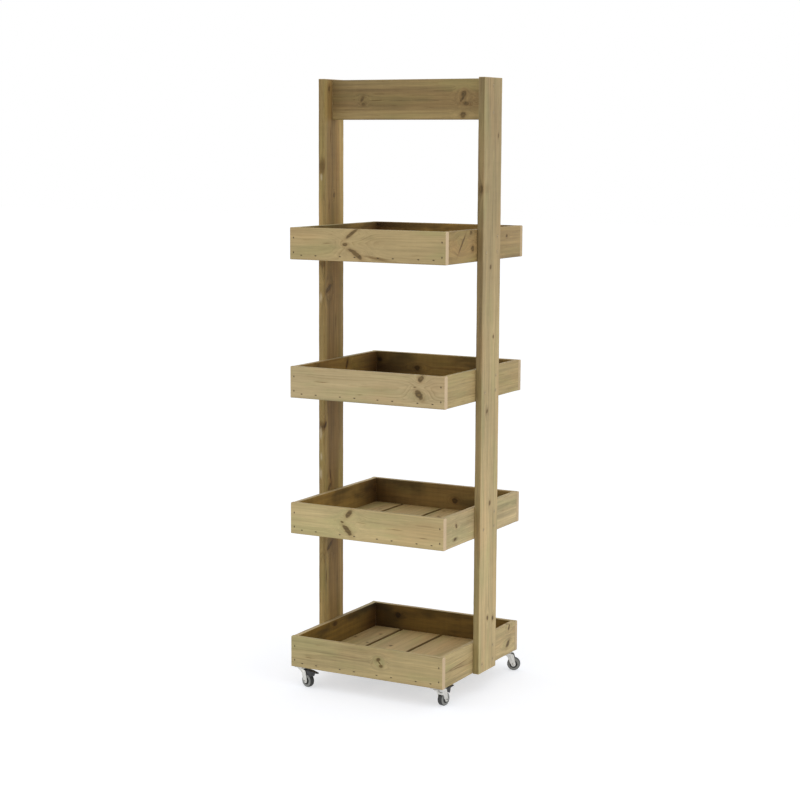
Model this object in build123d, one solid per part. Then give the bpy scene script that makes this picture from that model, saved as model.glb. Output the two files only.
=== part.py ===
from build123d import *
import math
import os

# A four-tray flower cart of treated softwood on four swivel casters.
# Millimetres. X runs along the front, Y from the front to the back, Z up.
# The origin is on the floor, under the centre of the stand.

# Trays
TRAY_WIDTH = 505.0
TRAY_DEPTH = 500.0
TRAY_BOARD_HEIGHT = 92.5
TRAY_BOARD_THICKNESS = 17.0
TRAY_COUNT = 4
TRAY_PITCH = 402.5
SLAT_THICKNESS = 17.0
OUTER_SLAT_WIDTH = 90.0
SLAT_GAP = 10.0
BOARD_EDGE_BEVEL = 2.0

# Posts and crossbar
POST_WIDTH = 115.0
POST_THICKNESS = 20.0
POST_ABOVE_TOP_TRAY = 427.0
CROSSBAR_HEIGHT = 116.0
CROSSBAR_THICKNESS = 20.0
CROSSBAR_DROP = 2.5

# Machine-driven nails of flattened wire
NAIL_LENGTH = 45.0
NAIL_WIDTH = 3.2
NAIL_HEIGHT = 2.2
NAIL_PROUD = 0.3
SLAT_NAIL_HEIGHT = 13.0
SLAT_NAIL_SPACING = 48.0
INNER_SLAT_NAIL_SHIFT = 8.5
CORNER_NAIL_INSET = 12.0
CORNER_NAIL_HEIGHTS = (21.0, 63.0)

# Small fasteners are drawn with flats in place of a round
FASTENER_SIDES = 8

# Countersunk screws through the posts
SCREW_HEAD_DIAMETER = 8.0
SCREW_HEAD_DEPTH = 2.4
SCREW_DIAMETER = 4.0
SCREW_PROUD = 0.3
TRAY_SCREW_LENGTH = 35.0
CROSSBAR_SCREW_LENGTH = 70.0
TRAY_SCREW_LOW = 25.5
TRAY_SCREW_HIGH = 69.0
TRAY_SCREW_SPACING = 71.0
CROSSBAR_SCREW_EDGE = 20.0

# Swivel casters
CASTER_HEIGHT = 60.0
CASTER_INSET = 25.0
TRAIL = 24.0
WHEEL_DIAMETER = 40.0
WHEEL_WIDTH = 17.0
HUB_DIAMETER = 14.0
HUB_WIDTH = 18.4
AXLE_DIAMETER = 6.0
AXLE_HEAD_DIAMETER = 9.0
AXLE_HEAD_DEPTH = 1.6
PLATE_SIZE = 42.0
PLATE_THICKNESS = 2.0
PLATE_CORNER_RADIUS = 5.0
PLATE_HOLE_SPACING = 30.0
PLATE_HOLE_DIAMETER = 4.5
RACE_DIAMETER = 32.0
RACE_DEPTH = 2.4
FORK_THICKNESS = 1.8
FORK_CROWN_DIAMETER = 34.0
FORK_FOOT_RADIUS = 7.0
KINGPIN_DIAMETER = 6.0
KINGPIN_HEAD_DIAMETER = 13.0
KINGPIN_HEAD_DEPTH = 2.0
CASTER_SCREW_LENGTH = 12.0
CASTER_SCREW_DIAMETER = 3.6
CASTER_SCREW_HEAD_DIAMETER = 7.0
CASTER_SCREW_HEAD_DEPTH = 1.8

# Brake pedals
PEDAL_REACH = 69.0
PEDAL_TIP_WIDTH = 7.0
PEDAL_THICKNESS = 2.6
PEDAL_PIVOT_DIAMETER = 4.0
PEDAL_PIVOT_DROP = 6.6
PEDAL_PIVOT_X = 20.0
PEDAL_PIVOT_RIM = 3.0
PEDAL_NOSE = 4.0
PEDAL_HEEL = 2.6
PEDAL_FLARE = 7.8
PEDAL_TOP_GAP = 1.0
PEDAL_TIP_DROP = 1.5
SHOE_GAP = 2.6
SHOE_LOW = math.radians(42.0)
SHOE_HIGH = math.radians(85.0)

# Clearances
SWIVEL_GAP = 0.3
RUNNING_GAP = 0.05
KINGPIN_CLEARANCE = 0.1
SIDE_GAP = 0.4

# Where each caster trails at rest, in degrees from +X, and which have a brake
CASTERS = {
    "front_left": (-1, -1, -18.0, True),
    "front_right": (1, -1, 80.0, True),
    "back_left": (-1, 1, -60.0, False),
    "back_right": (1, 1, 19.0, False),
}

# Worked out from the sizes above
INNER_WIDTH = TRAY_WIDTH - 2 * TRAY_BOARD_THICKNESS
INNER_DEPTH = TRAY_DEPTH - 2 * TRAY_BOARD_THICKNESS
INNER_SLAT_WIDTH = (INNER_WIDTH - 2 * OUTER_SLAT_WIDTH - 3 * SLAT_GAP) / 2
POST_BOTTOM = CASTER_HEIGHT
POST_TOP = CASTER_HEIGHT + (TRAY_COUNT - 1) * TRAY_PITCH + TRAY_BOARD_HEIGHT + POST_ABOVE_TOP_TRAY
POST_FACE = TRAY_WIDTH / 2 + POST_THICKNESS
CROSSBAR_TOP = POST_TOP - CROSSBAR_DROP
WHEEL_RADIUS = WHEEL_DIAMETER / 2
PLATE_BOTTOM = CASTER_HEIGHT - PLATE_THICKNESS
RACE_BOTTOM = PLATE_BOTTOM - RACE_DEPTH
CROWN_TOP = RACE_BOTTOM - SWIVEL_GAP
CROWN_BOTTOM = CROWN_TOP - FORK_THICKNESS
LEG_INNER = HUB_WIDTH / 2 + SIDE_GAP
LEG_OUTER = LEG_INNER + FORK_THICKNESS
PEDAL_PIVOT_HEIGHT = CROWN_BOTTOM - PEDAL_PIVOT_DROP

FLAT_BASE = (Align.CENTER, Align.CENTER, Align.MIN)


def board(size_x, size_y, size_z, grain):
    """A planed board standing on its own base, with its four long edges taken off."""
    blank = Box(size_x, size_y, size_z, align=FLAT_BASE)
    return chamfer(blank.edges().filter_by(grain), BOARD_EDGE_BEVEL)


def turned(points, axis):
    """A turned piece: the half outline through the points, swept round the axis."""
    outline = make_face(Polyline(*points, close=True))
    return revolve(outline, axis)


# ---------------------------------------------------------------- trays


def tray_bottom(level):
    """Height of the underside of a tray, counted from the bottom one."""
    return CASTER_HEIGHT + level * TRAY_PITCH


def tray_boards(level):
    """Front and back boards run the full width, and the side boards fit between them."""
    long_board = board(TRAY_WIDTH, TRAY_BOARD_THICKNESS, TRAY_BOARD_HEIGHT, Axis.X)
    short_board = board(TRAY_BOARD_THICKNESS, INNER_DEPTH, TRAY_BOARD_HEIGHT, Axis.Y)
    front = TRAY_DEPTH / 2 - TRAY_BOARD_THICKNESS / 2
    side = TRAY_WIDTH / 2 - TRAY_BOARD_THICKNESS / 2
    height = tray_bottom(level)
    return {
        "front_board": Pos(0, -front, height) * long_board,
        "back_board": Pos(0, front, height) * long_board,
        "left_board": Pos(-side, 0, height) * short_board,
        "right_board": Pos(side, 0, height) * short_board,
    }


def slat_centres():
    """X of each floor slat's centre line and its width, from left to right."""
    inner = SLAT_GAP / 2 + INNER_SLAT_WIDTH / 2
    outer = INNER_WIDTH / 2 - OUTER_SLAT_WIDTH / 2
    return [
        (-outer, OUTER_SLAT_WIDTH),
        (-inner, INNER_SLAT_WIDTH),
        (inner, INNER_SLAT_WIDTH),
        (outer, OUTER_SLAT_WIDTH),
    ]


def tray_slats(level):
    """Four floor slats that run from the front board to the back board."""
    slats = {}
    for number, (centre, width) in enumerate(slat_centres(), start=1):
        slat = board(width, INNER_DEPTH, SLAT_THICKNESS, Axis.Y)
        slats[f"slat_{number}"] = Pos(centre, 0, tray_bottom(level)) * slat
    return slats


def nail():
    """A nail driven along +Y, its end standing a little proud of the XZ plane."""
    along_y = (Align.CENTER, Align.MIN, Align.CENTER)
    return Pos(0, -NAIL_PROUD, 0) * Box(NAIL_WIDTH, NAIL_LENGTH, NAIL_HEIGHT, align=along_y)


def nail_places():
    """X and height above the tray's underside of each nail in a front or back board."""
    places = []
    shifts = (0, INNER_SLAT_NAIL_SHIFT, -INNER_SLAT_NAIL_SHIFT, 0)
    for (centre, _), shift in zip(slat_centres(), shifts):
        for side in (-1, 1):
            places.append((centre + shift + side * SLAT_NAIL_SPACING / 2, SLAT_NAIL_HEIGHT))
    corner = TRAY_WIDTH / 2 - CORNER_NAIL_INSET
    for height in CORNER_NAIL_HEIGHTS:
        places += [(-corner, height), (corner, height)]
    return places


def nails():
    """Every nail of the four trays, in the front boards and the back boards."""
    pieces = []
    for level in range(TRAY_COUNT):
        for x, height in nail_places():
            front_nail = Pos(x, -TRAY_DEPTH / 2, tray_bottom(level) + height) * nail()
            pieces += [front_nail, Rot(0, 0, 180) * front_nail]
    return pieces


# ---------------------------------------------------------------- posts and crossbar


def post():
    """One upright board; its centre is on the Z axis."""
    return board(POST_THICKNESS, POST_WIDTH, POST_TOP - POST_BOTTOM, Axis.Z)


def posts():
    """The uprights stand against the outer faces of the trays' side boards."""
    centre = TRAY_WIDTH / 2 + POST_THICKNESS / 2
    return {
        "post_left": Pos(-centre, 0, POST_BOTTOM) * post(),
        "post_right": Pos(centre, 0, POST_BOTTOM) * post(),
    }


def crossbar():
    """The top rail, on edge between the posts."""
    rail = board(TRAY_WIDTH, CROSSBAR_THICKNESS, CROSSBAR_HEIGHT, Axis.X)
    return Pos(0, 0, CROSSBAR_TOP - CROSSBAR_HEIGHT) * rail


def flatted(radius):
    """The section of a small fastener."""
    return RegularPolygon(radius, FASTENER_SIDES)


def countersunk_screw(length):
    """A screw driven along -Z, with the flat top of its head just above the XY plane."""
    cone_top = flatted(SCREW_HEAD_DIAMETER / 2)
    cone_foot = Pos(0, 0, -SCREW_HEAD_DEPTH) * flatted(SCREW_DIAMETER / 2)
    shank = extrude(cone_foot, SCREW_HEAD_DEPTH - length)
    return Pos(0, 0, SCREW_PROUD) * (loft([cone_top, cone_foot]) + shank)


def post_screws():
    """Three screws through a post into each tray: two low ones and one high at the back."""
    places = [
        (-TRAY_SCREW_SPACING / 2, TRAY_SCREW_LOW),
        (TRAY_SCREW_SPACING / 2, TRAY_SCREW_LOW),
        (TRAY_SCREW_SPACING / 2, TRAY_SCREW_HIGH),
    ]
    screw = countersunk_screw(TRAY_SCREW_LENGTH)
    pieces = []
    for side in (-1, 1):
        for level in range(TRAY_COUNT):
            for y, height in places:
                place = Pos(side * POST_FACE, y, tray_bottom(level) + height)
                pieces.append(place * Rot(0, side * 90, 0) * screw)
    return pieces


def crossbar_screws():
    """Two long screws at each end, through the post into the end grain of the crossbar."""
    screw = countersunk_screw(CROSSBAR_SCREW_LENGTH)
    high = CROSSBAR_TOP - CROSSBAR_SCREW_EDGE
    low = CROSSBAR_TOP - CROSSBAR_HEIGHT + CROSSBAR_SCREW_EDGE
    pieces = []
    for side in (-1, 1):
        for height in (low, high):
            pieces.append(Pos(side * POST_FACE, 0, height) * Rot(0, side * 90, 0) * screw)
    return pieces


# ---------------------------------------------------------------- casters
# Each piece is made with the swivel axis on Z, the floor at Z = 0 and the wheel trailing along +X.


def caster_plate():
    """Square top plate with rounded corners, four screw holes and the cup that closes the race in."""
    blank = extrude(RectangleRounded(PLATE_SIZE, PLATE_SIZE, PLATE_CORNER_RADIUS), PLATE_THICKNESS)
    plate = Pos(0, 0, PLATE_BOTTOM) * blank
    race = Pos(0, 0, RACE_BOTTOM) * Cylinder(RACE_DIAMETER / 2, RACE_DEPTH, align=FLAT_BASE)
    hole = extrude(flatted(PLATE_HOLE_DIAMETER / 2), PLATE_THICKNESS)
    corners = GridLocations(PLATE_HOLE_SPACING, PLATE_HOLE_SPACING, 2, 2)
    holes = [Pos(0, 0, PLATE_BOTTOM) * place * hole for place in corners]
    pin_hole = Cylinder(KINGPIN_DIAMETER / 2, RACE_DEPTH + PLATE_THICKNESS, align=FLAT_BASE)
    return plate + race - holes - Pos(0, 0, RACE_BOTTOM) * pin_hole


def kingpin():
    """Rivet through plate and fork crown; the fork turns on it above its lower head."""
    head_top = CROWN_BOTTOM - SWIVEL_GAP
    shank = KINGPIN_DIAMETER / 2
    head = KINGPIN_HEAD_DIAMETER / 2
    outline = [
        (0, 0, CASTER_HEIGHT),
        (shank, 0, CASTER_HEIGHT),
        (shank, 0, head_top),
        (head, 0, head_top),
        (head, 0, head_top - KINGPIN_HEAD_DEPTH),
        (0, 0, head_top - KINGPIN_HEAD_DEPTH),
    ]
    return turned(outline, Axis.Z)


def leg_outline():
    """Side view of a fork leg: from the crown back past the pedal pivot and down to the axle."""
    root = math.sqrt((FORK_CROWN_DIAMETER / 2) ** 2 - LEG_OUTER**2)
    crown = Pos(0, (CROWN_TOP + CROWN_BOTTOM) / 2) * Rectangle(2 * root, FORK_THICKNESS)
    pivot = Pos(PEDAL_PIVOT_X, PEDAL_PIVOT_HEIGHT) * Circle(PEDAL_PIVOT_DIAMETER / 2 + PEDAL_PIVOT_RIM)
    foot = Pos(TRAIL, WHEEL_RADIUS) * Circle(FORK_FOOT_RADIUS)
    return make_hull([*crown.edges(), *pivot.edges(), *foot.edges()])


def fork(braked):
    """Pressed fork: a round crown and two legs that rake back, holed for a brake where it has one."""
    crown = Pos(0, 0, CROWN_BOTTOM) * Cylinder(FORK_CROWN_DIAMETER / 2, FORK_THICKNESS, align=FLAT_BASE)
    near_leg = Pos(0, -LEG_INNER, 0) * extrude(Plane.XZ * leg_outline(), FORK_THICKNESS)
    far_leg = mirror(near_leg, Plane.XZ)
    hole_radius = KINGPIN_DIAMETER / 2 + KINGPIN_CLEARANCE
    kingpin_hole = Pos(0, 0, CROWN_BOTTOM) * Cylinder(hole_radius, FORK_THICKNESS, align=FLAT_BASE)
    holes = [kingpin_hole, across(TRAIL, WHEEL_RADIUS, AXLE_DIAMETER / 2, LEG_OUTER)]
    if braked:
        pin_hole = PEDAL_PIVOT_DIAMETER / 2 + RUNNING_GAP
        holes.append(across(PEDAL_PIVOT_X, PEDAL_PIVOT_HEIGHT, pin_hole, LEG_OUTER))
    return crown + near_leg + far_leg - holes


def across(x, z, radius, half_length):
    """A round bar along Y, centred on the caster's middle plane."""
    return Pos(x, 0, z) * Rot(90, 0, 0) * Cylinder(radius, 2 * half_length)


def wheel():
    """Grey wheel with a hub that stands proud between the fork legs."""
    bore = AXLE_DIAMETER / 2 + RUNNING_GAP
    hub = HUB_DIAMETER / 2
    half = [
        (bore, HUB_WIDTH / 2),
        (hub, HUB_WIDTH / 2),
        (hub, WHEEL_WIDTH / 2),
        (WHEEL_RADIUS, WHEEL_WIDTH / 2),
    ]
    outline = half + [(radius, -y) for radius, y in reversed(half)]
    return Pos(TRAIL, 0, WHEEL_RADIUS) * turned(outline, Axis.Y)


def axle():
    """Rivet through both fork legs, with a flatted head on the outside of each."""
    shank = across(TRAIL, WHEEL_RADIUS, AXLE_DIAMETER / 2, LEG_OUTER)
    blank = extrude(Plane.XZ * flatted(AXLE_HEAD_DIAMETER / 2), AXLE_HEAD_DEPTH)
    near_head = Pos(TRAIL, -LEG_OUTER, WHEEL_RADIUS) * blank
    return shank + near_head + mirror(near_head, Plane.XZ)


def brake_pedal():
    """Pointed foot lever between the fork legs, with a curved shoe above the tread."""
    top = CROWN_BOTTOM - PEDAL_TOP_GAP
    shoe = WHEEL_RADIUS + SHOE_GAP
    low = (TRAIL + shoe * math.cos(SHOE_LOW), WHEEL_RADIUS + shoe * math.sin(SHOE_LOW))
    middle_angle = (SHOE_LOW + SHOE_HIGH) / 2
    middle = (TRAIL + shoe * math.cos(middle_angle), WHEEL_RADIUS + shoe * math.sin(middle_angle))
    high = (TRAIL + shoe * math.cos(SHOE_HIGH), WHEEL_RADIUS + shoe * math.sin(SHOE_HIGH))
    nose = PEDAL_PIVOT_X - PEDAL_NOSE
    side = Polyline(
        high,
        (nose, PEDAL_PIVOT_HEIGHT - PEDAL_PIVOT_DIAMETER / 2),
        (nose, top),
        (PEDAL_REACH, top - PEDAL_TIP_DROP),
        (PEDAL_REACH, top - PEDAL_TIP_DROP - PEDAL_THICKNESS),
        (low[0] + PEDAL_FLARE, top - PEDAL_TIP_DROP - PEDAL_THICKNESS),
        (low[0] + PEDAL_HEEL, low[1]),
        low,
    )
    outline = make_face([side, ThreePointArc(low, middle, high)])
    half_width = LEG_INNER - SIDE_GAP
    blank = extrude(Plane.XZ * outline, half_width, both=True)
    tip = PEDAL_TIP_WIDTH / 2
    plan = make_face(
        Polyline(
            (nose, -half_width),
            (low[0], -half_width),
            (PEDAL_REACH, -tip),
            (PEDAL_REACH, tip),
            (low[0], half_width),
            (nose, half_width),
            close=True,
        )
    )
    lever = blank & extrude(plan, CASTER_HEIGHT)
    return lever + across(PEDAL_PIVOT_X, PEDAL_PIVOT_HEIGHT, PEDAL_PIVOT_DIAMETER / 2, LEG_OUTER)


def caster_screw():
    """A screw driven along -Z, with the underside of its flat head in the XY plane."""
    head = extrude(flatted(CASTER_SCREW_HEAD_DIAMETER / 2), CASTER_SCREW_HEAD_DEPTH)
    return head + extrude(flatted(CASTER_SCREW_DIAMETER / 2), -CASTER_SCREW_LENGTH)


def caster_centre(side_x, side_y):
    """Where a caster's swivel axis stands, in from the tray's outer faces."""
    return Pos(side_x * (TRAY_WIDTH / 2 - CASTER_INSET), side_y * (TRAY_DEPTH / 2 - CASTER_INSET), 0)


def caster_nodes():
    """The separate pieces of each caster, turned to the way it trails at rest."""
    nodes = {}
    for name, (side_x, side_y, heading, braked) in CASTERS.items():
        centre = caster_centre(side_x, side_y)
        turned_way = centre * Rot(0, 0, heading)
        nodes[f"caster_{name}_plate"] = centre * caster_plate()
        nodes[f"caster_{name}_fork"] = turned_way * fork(braked)
        nodes[f"caster_{name}_wheel"] = turned_way * wheel()
        nodes[f"caster_{name}_axle"] = turned_way * axle()
        if braked:
            nodes[f"caster_{name}_brake_pedal"] = turned_way * brake_pedal()
    return nodes


def caster_fasteners():
    """Kingpins and plate screws of the four casters, as two groups."""
    kingpins, screws = [], []
    corners = GridLocations(PLATE_HOLE_SPACING, PLATE_HOLE_SPACING, 2, 2)
    for side_x, side_y, _, _ in CASTERS.values():
        centre = caster_centre(side_x, side_y)
        kingpins.append(centre * kingpin())
        for corner in corners:
            screws.append(centre * corner * Pos(0, 0, PLATE_BOTTOM) * Rot(180, 0, 0) * caster_screw())
    return {"caster_kingpins": kingpins, "caster_screws": screws}


# ---------------------------------------------------------------- the whole stand


def all_nodes():
    """Every node by name; a group of like pieces is a list."""
    nodes = dict(posts())
    nodes["crossbar"] = crossbar()
    for level in range(TRAY_COUNT):
        for name, piece in {**tray_boards(level), **tray_slats(level)}.items():
            nodes[f"tray_{level + 1}_{name}"] = piece
    nodes["tray_nails"] = nails()
    nodes["post_screws"] = post_screws()
    nodes["crossbar_screws"] = crossbar_screws()
    nodes.update(caster_fasteners())
    nodes.update(caster_nodes())
    return nodes


def main():
    os.makedirs("parts", exist_ok=True)
    for name, piece in all_nodes().items():
        shape = Compound(children=piece) if isinstance(piece, list) else piece
        export_step(shape, f"parts/{name}.step")


if __name__ == "__main__":
    main()
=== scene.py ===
"""Flower cart stand: planed boards, fasteners, swivel casters and a plain studio.

Metres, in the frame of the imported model: X along the front, Y to the back, Z up.
A board's own coordinates are u along the grain, v across its width and w through it.
"""
import functools
import math

import bmesh
import bpy
import numpy as np
from mathutils import Matrix, Vector


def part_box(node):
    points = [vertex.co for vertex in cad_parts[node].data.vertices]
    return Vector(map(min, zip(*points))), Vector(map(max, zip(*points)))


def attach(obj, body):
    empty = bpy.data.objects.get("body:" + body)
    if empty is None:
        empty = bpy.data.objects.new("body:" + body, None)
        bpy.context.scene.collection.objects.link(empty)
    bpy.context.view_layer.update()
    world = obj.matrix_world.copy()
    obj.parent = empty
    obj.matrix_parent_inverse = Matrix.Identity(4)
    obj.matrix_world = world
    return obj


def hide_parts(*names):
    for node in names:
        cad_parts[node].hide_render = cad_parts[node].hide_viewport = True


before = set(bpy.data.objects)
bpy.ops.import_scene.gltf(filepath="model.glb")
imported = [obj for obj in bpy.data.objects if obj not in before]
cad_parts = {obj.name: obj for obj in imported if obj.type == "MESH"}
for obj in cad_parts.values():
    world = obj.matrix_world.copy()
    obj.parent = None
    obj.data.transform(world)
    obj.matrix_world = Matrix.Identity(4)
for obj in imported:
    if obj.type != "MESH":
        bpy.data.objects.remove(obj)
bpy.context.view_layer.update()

bl_info = {
    "name": "Flower cart stand",
    "version": (1, 0, 0),
    "blender": (4, 5, 0),
    "location": "View3D > Sidebar > Flower Cart",
    "description": "Finishes a four-tray flower cart of treated softwood on swivel casters",
    "category": "Object",
}

MM = 0.001
LEVELS = (1, 2, 3, 4)
CASTERS = ("front_left", "front_right", "back_left", "back_right")
BRAKED = ("front_left", "front_right")

# How each kind of board lies: the rows are its u, v and w directions
ALONG_X = ((1, 0, 0), (0, 0, 1), (0, -1, 0))
ALONG_Y = ((0, 1, 0), (0, 0, 1), (1, 0, 0))
FLAT_ALONG_Y = ((0, 1, 0), (-1, 0, 0), (0, 0, 1))
UPRIGHT = ((0, 0, 1), (0, 1, 0), (-1, 0, 0))

# Branch knots from the middle of the board, in millimetres and degrees:
# (u, v, half length, half width, tilt), and a fifth number where one comes out of an edge
KNOTS = {
    "crossbar": [(-151, 2, 8, 4.5, 60), (-147, -9, 6, 5, 20), (183, 15, 10, 7, 70),
                 (190, -10, 9, 5.5, -20), (181, -44, 9, 8, 80), (178, 4, 12, 3, 62)],
    "post_right": [(549, -2, 10, 6, 9, 90), (327, -8, 6, 4.5, 20), (125, 15, 5, 4, 0),
                   (-89, -21, 6, 4.5, 30), (-362, 4, 8, 5, 10), (-705, -3, 6.5, 5.5, 0),
                   (-712, 32, 6.5, 5.5, 0), (700, 34, 6, 3, 10)],
    "post_left": [(836, -29, 7, 4, 10), (523, -1, 6, 4.5, 20), (246, -31, 18, 6.5, 55),
                  (-164, -50, 11, 4.5, 30), (-357, -27, 12, 5, 40), (-540, -27, 18, 6, 55)],
    "tray_4_front_board": [(-48, 33, 23, 4.6, 36), (-69, 6, 8, 5.5, 10), (-36, -22, 26, 6.5, -36)],
    "tray_4_right_board": [(-84, -7, 9, 8, 0), (-96, 38, 7, 5, 30), (-150, 10, 30, 3, 50),
                           (140, 20, 6, 4, 0)],
    "tray_3_front_board": [(177, 36, 11, 7, 50), (171, -9, 15, 9, -47), (158, 8, 5, 1.8, 0)],
    "tray_3_back_board": [(-92, 1, 9, 7.5, 0), (-224, 21, 8, 7, 0)],
    "tray_3_left_board": [(48, 23, 14, 5, 65)],
    "tray_2_front_board": [(-56, 31, 15, 6.5, 47), (-78, 8, 5, 3.2, 0), (-62, -15, 19, 7.5, -48)],
    "tray_2_back_board": [(43, -1, 9, 8, 0)],
    "tray_1_front_board": [(43, 14, 7, 5, 30), (52, -3, 5.5, 5, 0), (47, 6, 10, 2, -60)],
    "tray_1_back_board": [(-155, 15, 9, 8, 0)],
    "tray_1_left_board": [(-23, 34, 10, 7, 0)],
    "tray_1_right_board": [(190, 38, 9, 5, 60), (183, -12, 14, 7, 40)],
    "tray_1_slat_2": [(43, 6, 6, 5, 0)],
}

# Soft dark streaks and drying cracks in the same coordinates: (u, v, half length, half width, tilt)
STREAKS = {
    "crossbar": [(-100, -2, 26, 1.8, 1)],
    "post_left": [(610, -57, 24, 8, 6), (491, -30, 20, 3, 8), (320, -56, 16, 7, 0),
                  (-164, -54, 26, 6, 8), (-330, -20, 30, 4, -10), (-632, -46, 20, 4, 6),
                  (150, 10, 34, 3, 3), (700, -20, 30, 3, 2)],
    "tray_4_front_board": [(40, -35, 56, 4.5, -8), (-130, 4, 16, 1.4, 2)],
    "tray_3_front_board": [(-150, 6, 28, 1.6, 0), (-20, -22, 14, 1.4, 3)],
    "tray_2_front_board": [(95, 0, 26, 1.5, 0), (-10, 8, 22, 1.3, -2), (190, -16, 16, 1.4, 0)],
    "tray_1_front_board": [(-190, -12, 20, 1.6, 0)],
    "tray_1_right_board": [(-143, 4, 80, 2.0, 3), (-143, -5, 80, 1.8, -3.5)],
}

# Pale torn flakes along the front arris of a post: (u, w, half length, half width), in millimetres
FLAKES = {"post_left": [(577, 0, 12, 4), (220, 2, 16, 5), (-190, 2, 20, 5), (-262, 1, 14, 4),
                        (-312, 2, 18, 5)]}

# How far round its half sizes a knot bends the rings: so many times, and so much more
KNOT_REACH, KNOT_MARGIN = (2.6, 1.6), (4 * MM, 3 * MM)

# Half sizes of the dark mark round what is driven into a board: a stain round the nails, and painted shade
# of the countersunk recess round the screws
STAINS_AND_RECESS_SHADE = {"slat_nail": (4.2 * MM, 1.7 * MM, 1), "board_nail": (1.9 * MM, 3.6 * MM, 1),
           "screw": (5.2 * MM, 4.8 * MM, 1)}

# The tables below go by a board's name or a part of it; the first entry that fits counts.
# How dark the heart of a board is beside its edges
HEARTS = {"post_left": 1.0, "crossbar": 0.6}

# Tint of a rough face beside the others: partly the sawn wood's own tone and partly painted shade inside the
# tray
INSIDE_TONE_AND_SHADE = {"tray_1_back_board": (0.68, 0.62, 0.42), "tray_1_left_board": (0.74, 0.66, 0.37),
               "tray_2_left_board": (1.10, 1.05, 0.86), "tray_3_left_board": (0.98, 0.92, 0.74)}

# The end, -u or +u, towards which the inside of each kind of board darkens, as painted shade of the tray's
# corner together with a damp stain
SHADED_AND_STAINED_ENDS = {"left_board": 1.0, "back_board": -1.0, "right_board": 0.85}

# How dark the narrow faces of a board are: the slats look into their gaps
SIDE_SHADES = {"post_left": 0.35, "post_right": 0.68, "slat": 1.0}

# How strongly the figure of each kind of board stands out, and its sawn ends beside the rest of it
CONTRASTS = {"post_left": 2.3, "post_right": 1.7, "crossbar": 2.1, "tray_1_front_board": 1.5,
             "right_board": 1.8, "left_board": 1.8, "back_board": 1.5}
END_STRENGTHS = {"back": 0.45}

# How light each board is beside the rest, at its -u end and at its +u end: partly the wood's own tone and
# partly painted light and shade, the right post lighter low down, the left post darker low down under the
# trays, the slats darker towards the back board
TONES_AND_LIGHT = {
    "crossbar": ((0.55, 0.50, 0.41), (0.55, 0.50, 0.41)),
    "post_left": ((0.72, 0.65, 0.50), (0.78, 0.70, 0.54)),
    "post_right": ((1.14, 1.13, 1.08), (0.82, 0.80, 0.75)),
    "tray_4_front_board": ((0.89, 0.86, 0.78), (0.89, 0.86, 0.78)),
    "tray_4_back_board": ((0.92, 0.88, 0.80), (0.92, 0.88, 0.80)),
    "tray_4_right_board": ((0.71, 0.63, 0.47), (0.70, 0.63, 0.53)),
    "tray_3_right_board": ((0.86, 0.84, 0.73), (0.86, 0.84, 0.73)),
    "tray_2_front_board": ((1.10, 1.12, 1.05), (1.05, 1.06, 0.98)),
    "tray_1_right_board": ((0.89, 0.88, 0.80), (1.05, 1.04, 0.99)),
    "tray_1_front_board": ((0.96, 0.97, 0.90), (0.98, 0.98, 0.90)),
    "slat": ((1.18, 1.15, 1.05), (1.05, 1.01, 0.90)),
}


# ---------------------------------------------------------------- settings


def distance(name, description, value, low):
    """A length setting, given in millimetres."""
    return bpy.props.FloatProperty(
        name=name, description=description, default=value * MM, min=low * MM, unit="LENGTH")


def amount(name, description, value, unit="NONE"):
    return bpy.props.FloatProperty(name=name, description=description, default=value, min=0, unit=unit)


def colour(name, description, value):
    return bpy.props.FloatVectorProperty(
        name=name, description=description, default=value, subtype="COLOR")


class CartWood(bpy.types.PropertyGroup):
    ring_spacing: distance("Ring spacing", "From one growth ring to the next", 3.4, 0.5)
    arris: distance("Arris radius", "Rounding along the long edges of a board", 3.2, 0.2)
    slat_arris: distance("Slat arris", "Rounding along the long edges of a floor slat", 1.5, 0.2)
    end_arris: distance("End arris", "Rounding round the sawn ends", 0.7, 0.1)
    station: distance("Station spacing", "Between the sections that a board is made of", 7.0, 2)
    early: colour("Early wood", "Pale part of a growth ring", (0.53, 0.415, 0.222))
    late: colour("Late wood", "Dark part of a growth ring", (0.335, 0.235, 0.105))
    knot: colour("Knot", "Heart of a branch knot", (0.127, 0.080, 0.026))
    green: colour("Treatment", "Green cast of the preservative", (0.38, 0.365, 0.165))
    end_grain: colour("End grain", "Sawn end of a board", (0.74, 0.56, 0.36))
    # Rough face: the sawn faces inside the trays darkened, partly their own tone and partly painted shade
    inside: colour("Rough face", "Darkening of the sawn faces inside the trays", (0.50, 0.42, 0.25))


class CartCaster(bpy.types.PropertyGroup):
    tyre_depth: distance("Tyre depth", "From the tread in to the wheel's core", 7.8, 2)
    rib_count: bpy.props.IntProperty(
        name="Wheel ribs", description="Ribs in the dish of the wheel's core", default=5, min=3)
    zinc: colour("Zinc", "Plating of the pressed parts", (0.62, 0.61, 0.57))
    # Screw: yellow plating, darkened further as painted shade of the countersunk heads in their recesses
    screw: colour("Screw", "Yellowed plating of the screws in the posts", (0.50, 0.40, 0.24))
    nail: colour("Nail", "Dull dark steel of the nails", (0.045, 0.036, 0.026))
    tyre: colour("Tyre", "Grey rubber", (0.28, 0.285, 0.27))
    # Core: dark plastic, kept this dark also as painted shade of the wheel's recessed dish
    core: colour("Core", "Dark plastic of the wheel's core", (0.045, 0.045, 0.042))
    pedal: colour("Pedal", "Black plastic of the brake pedals", (0.018, 0.018, 0.02))


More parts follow.
